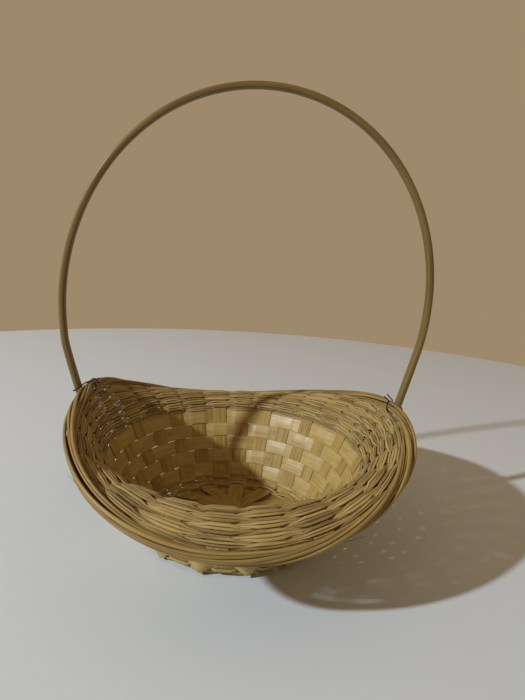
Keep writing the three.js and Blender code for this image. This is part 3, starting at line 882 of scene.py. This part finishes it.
class BASKET_OT_border(bpy.types.Operator):
    """Twists the strands of the rolled border slowly round the rim. Each is split in three, so the bundle is
    uneven, with slots that open and close: dark with real shade, and with painted shade from a darkened core
    strand"""

    bl_idname = "basket.border"
    bl_label = "Rolled border"

    STEPS = 420
    SIDES = 12
    SEED_STEP = 70
    TONES = (-1.0, 1.0)
    # Share of a strand's quarter turn, width, thickness, and depth of its middle below the border's surface
    SPLITS = (
        (-0.25, 2.6 * MM, 2.0 * MM, 1.0 * MM),
        (0.24, 1.7 * MM, 1.5 * MM, 1.2 * MM),
        (0.5, 0.9 * MM, 0.9 * MM, 1.8 * MM),
    )
    SPLIT_WIDTHS = (0.85, 1.2)  # from strand to strand
    CORE = 2.6 * MM  # the strand in the middle of the bundle
    CORE_FILL = 0.75
    # The core's tone is painted shade: it darkens the hidden middle strand so that the slots between the
    # twisted strands read as shadow
    CORE_PAINTED_SHADE_TONE = -2.0
    UNEVEN = 0.1
    UNEVEN_WAVES = (4, 11)
    TWIST_WAVER = 0.25  # radians
    TWIST_WAVES = (2, 3, 5, 9)
    WANDER = 0.3 * MM
    WANDER_WAVES = (3, 7, 12)
    LOOSE_PLACES = ((math.radians(-38), math.radians(26)), (math.radians(196), math.radians(20)))
    SLACK = (-0.6 * MM, 1.4 * MM)
    FIBRE_SEED = 80
    FIBRES = 7
    FIBRE_WIDTH = 0.45 * MM
    FIBRE_TAPER = 0.7
    FIBRE_TONE = -1.5
    # Angle round the basket, angle round the border, length, bow and sag: the long one by the right leg
    LONG_FIBRE = (-0.06, -0.2, -24 * MM, 9 * MM, 5 * MM)
    FIBRE_LENGTHS = (8 * MM, 18 * MM)
    FIBRE_BOWS = (1 * MM, 4 * MM)
    FIBRE_SAGS = (0, 3 * MM)
    FIBRE_POINTS = 5
    FIBRE_CURL = 1.4
    FIBRE_ROOT = 0.9  # of the border's radius
    FIBRE_STEPS = 16
    FIBRE_SIDES = 6
    FIBRE_NUDGE = 0.02

    def execute(self, context):
        sizes = context.scene.basket_sizes
        weave = Weave(sizes)
        material = material_for(context, "rolled_bamboo_border")
        quarter = TAU / sizes.border_strands
        for strand in range(sizes.border_strands):
            chance = random.Random(SEED + self.SEED_STEP + strand)
            bm = new_weave_mesh()
            for turned, width, thickness, depth in self.SPLITS:
                width = width * chance.uniform(*self.SPLIT_WIDTHS)
                phase = quarter * strand + turned * quarter
                radius = weave.border_radius - depth
                place = self.placer(weave, phase, radius, width, thickness, chance.random())
                tone = chance.uniform(*self.TONES)
                lay_strand(bm, self.STEPS, self.SIDES, place, chance, tone, True)
            if strand == 0:
                # The strand in the middle of the bundle, darkened with painted shade so that the slots show
                # dark
                width = self.CORE_FILL * self.CORE
                core = self.placer(weave, 0, self.CORE / 2, width, width, chance.random())
                lay_strand(bm, self.STEPS, self.SIDES, core, chance, self.CORE_PAINTED_SHADE_TONE, True)
                self.add_fibres(bm, weave)
            name = numbered("border_roll", strand)
            finish_piece(name, bm, material, [numbered("border_strand", strand)])
        return {"FINISHED"}

    def add_fibres(self, bm, weave):
        """Springs a few loose fibres off the border."""
        chance = random.Random(SEED + self.FIBRE_SEED)
        fibres = [self.LONG_FIBRE]
        for _ in range(self.FIBRES):
            angle = chance.uniform(0, TAU)
            length = chance.choice((-1, 1)) * chance.uniform(*self.FIBRE_LENGTHS)
            turned = chance.uniform(-1, 1)
            bow = chance.uniform(*self.FIBRE_BOWS)
            fibres.append((angle, turned, length, bow, chance.uniform(*self.FIBRE_SAGS)))
        for angle, turned, length, bow, sag in fibres:
            rim, (around, up, out) = weave.spot(angle, weave.rim)
            away = out * math.cos(turned) + up * math.sin(turned)
            steps = np.linspace(0, 1, self.FIBRE_POINTS)[:, None]
            root = weave.border_radius * self.FIBRE_ROOT
            path = rim + away * (root + bow * steps) + around * length * steps**self.FIBRE_CURL
            path = path - np.array([0, 0, sag]) * steps**2
            place = self.fibre_placer(path, up)
            lay_strand(bm, self.FIBRE_STEPS, self.FIBRE_SIDES, place, chance, self.FIBRE_TONE, False)

    def fibre_placer(self, path, up):
        def place(run, turn):
            centre, tangent = along_spline(path, run, self.FIBRE_NUDGE)
            side = unit(np.cross(tangent, up))
            normal = np.cross(side, tangent)
            across, lift = section(turn, self.FIBRE_WIDTH, self.FIBRE_WIDTH, ROUND)
            taper = 1 - self.FIBRE_TAPER * run
            return centre + side * (across * taper)[:, None] + normal * (lift * taper)[:, None]

        return place

    def placer(self, weave, phase, radius, width, thickness, seed):
        sizes = weave.sizes

        def place(run, turn):
            chance = random.Random(seed)
            angle = sizes.first_stake + TAU * run
            across, lift = section(turn, width, thickness, ROUNDED)
            up, out = weave.directions(angle, weave.rim + 0 * angle)[1:]
            wobble = self.TWIST_WAVER * waver(run, chance, self.TWIST_WAVES)
            twist = sizes.border_turns * angle + phase + wobble
            away = out * np.cos(twist)[:, None] + up * np.sin(twist)[:, None]
            tangent = up * np.cos(twist)[:, None] - out * np.sin(twist)[:, None]
            distance = radius + self.WANDER * waver(run, chance, self.WANDER_WAVES)
            for middle, spread in self.LOOSE_PLACES:
                beside = (angle - middle + math.pi) % TAU - math.pi
                distance = distance + chance.uniform(*self.SLACK) * np.exp(-((beside / spread) ** 2))
            across = across * (1 + self.UNEVEN * waver(run, chance, self.UNEVEN_WAVES))
            centre = weave.point(angle, weave.rim + 0 * angle)
            return centre + away * (distance + lift)[:, None] + tangent * across[:, None]

        return place


SPLINE_STEPS = 12  # between two given rows


def spline(rows, shares):
    """Rows on a smooth curve through the given ones, at shares of its length. A row starts with a point."""
    rows = np.asarray(rows, float)
    ends = np.vstack([2 * rows[0] - rows[1], rows, 2 * rows[-1] - rows[-2]])
    fine = []
    for a, b, c, d in zip(ends, ends[1:], ends[2:], ends[3:]):
        for t in np.linspace(0, 1, SPLINE_STEPS, endpoint=False):
            cubic = (3 * b - a - 3 * c + d) * t**3
            fine.append((2 * b + (c - a) * t + (2 * a - 5 * b + 4 * c - d) * t**2 + cubic) / 2)
    fine = np.array(fine + [ends[-2]])
    run = np.concatenate([[0], np.cumsum(np.linalg.norm(np.diff(fine[:, :3], axis=0), axis=1))])
    return np.stack([np.interp(shares * run[-1], run, column) for column in fine.T], axis=-1)


def along_spline(rows, shares, nudge):
    """Rows on the curve, and its unit tangents there."""
    ahead = spline(rows, np.clip(shares + nudge, 0, 1))
    behind = spline(rows, np.clip(shares - nudge, 0, 1))
    return spline(rows, shares), unit((ahead - behind)[:, :3])


class Handle:
    """The hoop and its two legs as a row of stations: centre, direction across the cane, width, thickness."""

    HOOP_STEPS = 40
    LEG_SHARE = 0.51  # of the angle below its centre that the hoop's circle would reach to

    def __init__(self, weave):
        self.weave = weave
        self.legs = Legs(weave)
        self.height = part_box("handle_hoop")[1].z

    def beside_rim(self, angle, distance, direction):
        radius, height = self.weave.profile(angle, self.weave.rim)
        radius = radius + distance * math.cos(direction)
        height = height + distance * math.sin(direction)
        return np.array([radius * math.cos(angle), radius * math.sin(angle), height])

    def leg(self, stake, hoop_side):
        weave, legs, sizes = self.weave, self.legs, self.weave.sizes
        angle = weave.stake_angle(stake)
        side = weave.spot(angle, legs.tip)[1][0]
        if side @ hoop_side < 0:
            side = -side
        inner = sizes.splint_thickness / 2 + AIR
        over = inner + sizes.strand_thickness + AIR
        covered = weave.wall_length + (legs.last_row(stake) + 1) * weave.brim_pitch

        def on_brim(along, offset):
            return weave.place(np.array([angle]), np.array([along]), np.array([offset]))[0]

        rows = []
        for along in np.arange(legs.tip, covered + weave.brim_pitch / 2, weave.brim_pitch):
            thickness = float(legs.thickness(along))
            share = (along - legs.tip) / (weave.rim - legs.tip)
            width = legs.TIP_WIDTH + (sizes.hoop_width - legs.TIP_WIDTH) * share
            rows.append([*on_brim(along, inner + thickness / 2), *side, width, thickness])
        for along, thickness in (
            (covered + weave.brim_pitch, legs.TUCKED_THICKNESS),
            (weave.stake_end - weave.wire_room / 2, legs.SHOULDER_THICKNESS),
        ):
            centre = on_brim(along, over + AIR + thickness / 2)
            rows.append([*centre, *side, sizes.hoop_width, thickness])
        for direction, thickness in (
            (legs.BEND_DIRECTION, legs.BEND_THICKNESS),
            (legs.TOP_DIRECTION, sizes.hoop_thickness),
        ):
            centre = self.beside_rim(angle, weave.border_radius + 2 * AIR + thickness / 2, direction)
            turned = unit(side + (hoop_side - side) * thickness / sizes.hoop_thickness)
            rows.append([*centre, *turned, sizes.hoop_width, thickness])
        return rows

    def stations(self):
        weave, sizes = self.weave, self.weave.sizes
        feet = [weave.stake_angle(Legs.STAKES[name]) for name in ("left", "right")]
        left, right = (self.beside_rim(angle, weave.border_radius, 0) for angle in feet)
        across = unit((right - left) * np.array([1, 1, 0]))
        side = np.array([-across[1], across[0], 0])
        half_span = np.linalg.norm(right - left) / 2
        centre = (left + right) / 2 + across * sizes.hoop_shift
        rise = self.height - sizes.hoop_thickness / 2 - centre[2]
        radius = (half_span**2 + rise**2) / (2 * rise)
        below = rise - radius - sizes.hoop_flattening
        leg_angle = self.LEG_SHARE * math.atan2(below, half_span)
        centre[2] += below
        hoop = []
        for i in range(self.HOOP_STEPS + 1):
            turn = math.pi + leg_angle - (math.pi + 2 * leg_angle) * i / self.HOOP_STEPS
            reach = radius - sizes.hoop_flattening * math.cos(2 * turn) + sizes.hoop_skew * math.sin(2 * turn)
            point = centre + across * reach * math.cos(turn) + np.array([0, 0, reach * math.sin(turn)])
            hoop.append([*point, *side, sizes.hoop_width, sizes.hoop_thickness])
        legs = [self.leg(Legs.STAKES[name], side) for name in ("left", "right")]
        return legs[0] + hoop + legs[1][::-1]


class BASKET_OT_handle(bpy.types.Operator):
    """Bends the cane hoop and tucks its whittled ends into the brim"""

    bl_idname = "basket.handle"
    bl_label = "Handle"

    STEPS = 420
    SIDES = 20
    SEED_STEP = 90
    NUDGE = 1e-3
    UNEVEN = 0.02
    UNEVEN_WAVES = (4, 9, 17)

    def execute(self, context):
        rows = np.array(Handle(Weave(context.scene.basket_sizes)).stations())
        chance = random.Random(SEED + self.SEED_STEP)
        waver_seed = chance.random()

        def place(run, turn):
            station, tangent = along_spline(rows, run, self.NUDGE)
            normal = unit(np.cross(station[:, 3:6], tangent))
            broad = np.cross(tangent, normal)
            across, lift = section(turn, station[:, 6], station[:, 7], WHITTLED)
            across = across * (1 + self.UNEVEN * waver(run, random.Random(waver_seed), self.UNEVEN_WAVES))
            return station[:, :3] + broad * across[:, None] + normal * lift[:, None]

        bm = new_weave_mesh()
        lay_strand(bm, self.STEPS, self.SIDES, place, chance, 0.0, False)
        material = material_for(context, "bamboo_skin_cane")
        finish_piece("hoop", bm, material, ["handle_hoop"])
        return {"FINISHED"}


class BASKET_OT_wire_ties(bpy.types.Operator):
    """Winds the black wire that ties each leg to the border"""

    bl_idname = "basket.wire_ties"
    bl_label = "Wire ties"

    STEPS = 160
    SIDES = 10
    SEED_STEP = 95
    NUDGE = 4e-3
    TAIL = 4.5 * MM
    SLACK = 0.6 * MM

    def execute(self, context):
        weave = Weave(context.scene.basket_sizes)
        material = material_for(context, "annealed_wire")
        for name, stake in Legs.STAKES.items():
            chance = random.Random(SEED + self.SEED_STEP)
            bm = new_weave_mesh()
            lay_strand(bm, self.STEPS, self.SIDES, self.placer(weave, stake), chance, 0.0, False)
            finish_piece("tie_" + name, bm, material, ["wire_tie_" + name])
        return {"FINISHED"}

    def path(self, weave, stake):
        """Points that the wire passes: from its first tail over the border, across the leg's outer face, back
        under the border beside the stake, and over to its second tail. Directions are in degrees."""
        sizes = weave.sizes
        handle = Handle(weave)
        angle = weave.stake_angle(stake)
        rim, (around, up, out) = weave.spot(angle, weave.rim)
        diameter = sizes.wire_diameter
        on_border = weave.border_radius + self.SLACK + diameter / 2
        on_leg = weave.border_radius + 2 * AIR + sizes.hoop_thickness + 2 * self.SLACK + diameter / 2
        beside_faces = on_leg - sizes.hoop_thickness / 2
        leg_edge = sizes.hoop_width / 2 + self.SLACK + diameter
        stake_edge = sizes.splint_width / 2 + self.SLACK + diameter / 2

        def on_ring(direction, distance, sideways):
            turn = math.radians(direction)
            return rim + out * distance * math.cos(turn) + up * distance * math.sin(turn) + around * sideways

        def by_leg(direction, distance, sideways):
            return handle.beside_rim(angle, distance, math.radians(direction)) + around * sideways

        points = [
            on_ring(150, on_border + self.TAIL, diameter),
            on_ring(135, on_border + self.TAIL / 3, diameter),
            on_ring(100, on_border, leg_edge / 2),
            on_ring(60, on_border, leg_edge),
            by_leg(-6, beside_faces, leg_edge),
            by_leg(-10, on_leg, leg_edge / 2),
            by_leg(-16, on_leg, -leg_edge / 2),
            by_leg(-30, beside_faces, -leg_edge),
            on_ring(-60, on_border, -stake_edge),
            on_ring(-90, on_border, -stake_edge),
            on_ring(-130, on_border, -stake_edge),
            on_ring(-175, on_border, -leg_edge),
            on_ring(160, on_border, -leg_edge / 2),
            on_ring(172, on_border + self.TAIL, -diameter),
        ]
        return points, rim

    def placer(self, weave, stake):
        path, rim = self.path(weave, stake)
        diameter = weave.sizes.wire_diameter

        def place(run, turn):
            centre, tangent = along_spline(path, run, self.NUDGE)
            side = unit(np.cross(tangent, centre - rim))
            normal = np.cross(side, tangent)
            across, lift = section(turn, diameter, diameter, ROUND)
            return centre + side * across[:, None] + normal * lift[:, None]

        return place


class BASKET_OT_stage(bpy.types.Operator):
    """Sets up the pale floor, the soft studio light and the camera"""

    bl_idname = "basket.stage"
    bl_label = "Stage"

    FLOOR_RADIUS = 0.9
    FLOOR_THICKNESS = 12 * MM
    FLOOR_SEGMENTS = 128
    CAMERA_PLACE = (-38.6 * MM, -393.3 * MM, 229.7 * MM)
    CAMERA_PITCH = math.radians(11.92)  # down
    CAMERA_YAW = math.radians(8.03)  # towards +X
    CAMERA_ROLL = math.radians(3.63)
    CAMERA_NEAR = 10 * MM
    LENS = 27.0  # millimetres
    SENSOR = 36.0  # millimetres
    KEY_PLACE = (-2.28, -1.02, 1.63)
    KEY_AIM = (0, 0, 60 * MM)
    KEY_SIZE = 0.11
    KEY_POWER = 86.0
    FILL_STRENGTH = 0.62

    def execute(self, context):
        self.add_floor(context)
        self.add_lights(context)
        self.add_camera(context)
        return {"FINISHED"}

    def add_floor(self, context):
        bm = bmesh.new()
        bmesh.ops.create_circle(bm, cap_ends=True, radius=self.FLOOR_RADIUS, segments=self.FLOOR_SEGMENTS)
        sides = bmesh.ops.extrude_face_region(bm, geom=bm.faces[:])["geom"]
        lowered = [g for g in sides if isinstance(g, bmesh.types.BMVert)]
        bmesh.ops.translate(bm, verts=lowered, vec=(0, 0, -self.FLOOR_THICKNESS))
        bmesh.ops.recalc_face_normals(bm, faces=bm.faces)
        mesh = bpy.data.meshes.new("studio_floor")
        bm.to_mesh(mesh)
        bm.free()
        mesh.materials.append(studio_paint("matt_white_floor", context.scene.basket_colours.floor))
        floor = bpy.data.objects.new("studio_floor", mesh)
        context.scene.collection.objects.link(floor)

    def add_lights(self, context):
        colours = context.scene.basket_colours
        lamp = bpy.data.lights.new("key_light", "AREA")
        lamp.shape = "DISK"
        lamp.size = self.KEY_SIZE
        lamp.energy = self.KEY_POWER
        lamp.color = colours.key
        key = bpy.data.objects.new("key_light", lamp)
        key.location = self.KEY_PLACE
        aim = Vector(self.KEY_AIM) - key.location
        key.rotation_euler = aim.to_track_quat("-Z", "Y").to_euler()
        context.scene.collection.objects.link(key)
        world = bpy.data.worlds.new("soft_studio")
        world.use_nodes = True
        background = world.node_tree.nodes["Background"]
        background.inputs["Color"].default_value = (*colours.backdrop, 1)
        background.inputs["Strength"].default_value = self.FILL_STRENGTH
        context.scene.world = world
        context.scene.view_settings.view_transform = "Standard"

    def add_camera(self, context):
        data = bpy.data.cameras.new("camera")
        data.lens = self.LENS
        data.sensor_width = self.SENSOR
        data.clip_start = self.CAMERA_NEAR
        pitch, yaw, roll = self.CAMERA_PITCH, self.CAMERA_YAW, self.CAMERA_ROLL
        level = math.cos(pitch)
        forward = Vector((math.sin(yaw) * level, math.cos(yaw) * level, -math.sin(pitch)))
        right = Vector((math.cos(yaw), -math.sin(yaw), 0))
        up = right.cross(forward)
        turned_right = right * math.cos(roll) + up * math.sin(roll)
        turned_up = up * math.cos(roll) - right * math.sin(roll)
        axes = Matrix((turned_right, turned_up, -forward)).transposed()
        camera = bpy.data.objects.new("camera", data)
        camera.matrix_world = Matrix.LocRotScale(Vector(self.CAMERA_PLACE), axes.to_quaternion(), None)
        context.scene.collection.objects.link(camera)
        context.scene.camera = camera


OPERATORS = (
    BASKET_OT_stage,
    BASKET_OT_splints,
    BASKET_OT_foot_strands,
    BASKET_OT_bands,
    BASKET_OT_brim_strands,
    BASKET_OT_border,
    BASKET_OT_handle,
    BASKET_OT_wire_ties,
)


class BASKET_PT_panel(bpy.types.Panel):
    """Lists the basket's pieces in the sidebar"""

    bl_idname = "BASKET_PT_panel"
    bl_label = "Flower basket"
    bl_space_type = "VIEW_3D"
    bl_region_type = "UI"
    bl_category = "Basket"

    def draw(self, context):
        for operator in OPERATORS:
            self.layout.operator(operator.bl_idname)
        for group in (context.scene.basket_sizes, context.scene.basket_colours):
            box = self.layout.box()
            for key in group.__annotations__:
                box.prop(group, key)


CLASSES = (BasketSizes, BasketColours, *OPERATORS, BASKET_PT_panel)


def register():
    for cls in CLASSES:
        bpy.utils.register_class(cls)
    bpy.types.Scene.basket_sizes = bpy.props.PointerProperty(type=BasketSizes)
    bpy.types.Scene.basket_colours = bpy.props.PointerProperty(type=BasketColours)


def unregister():
    del bpy.types.Scene.basket_colours
    del bpy.types.Scene.basket_sizes
    for cls in reversed(CLASSES):
        bpy.utils.unregister_class(cls)


def main():
    register()
    bpy.ops.basket.stage()
    bpy.ops.basket.splints()
    bpy.ops.basket.foot_strands()
    bpy.ops.basket.bands()
    bpy.ops.basket.brim_strands()
    bpy.ops.basket.border()
    bpy.ops.basket.handle()
    bpy.ops.basket.wire_ties()


if __name__ == "__main__":
    main()
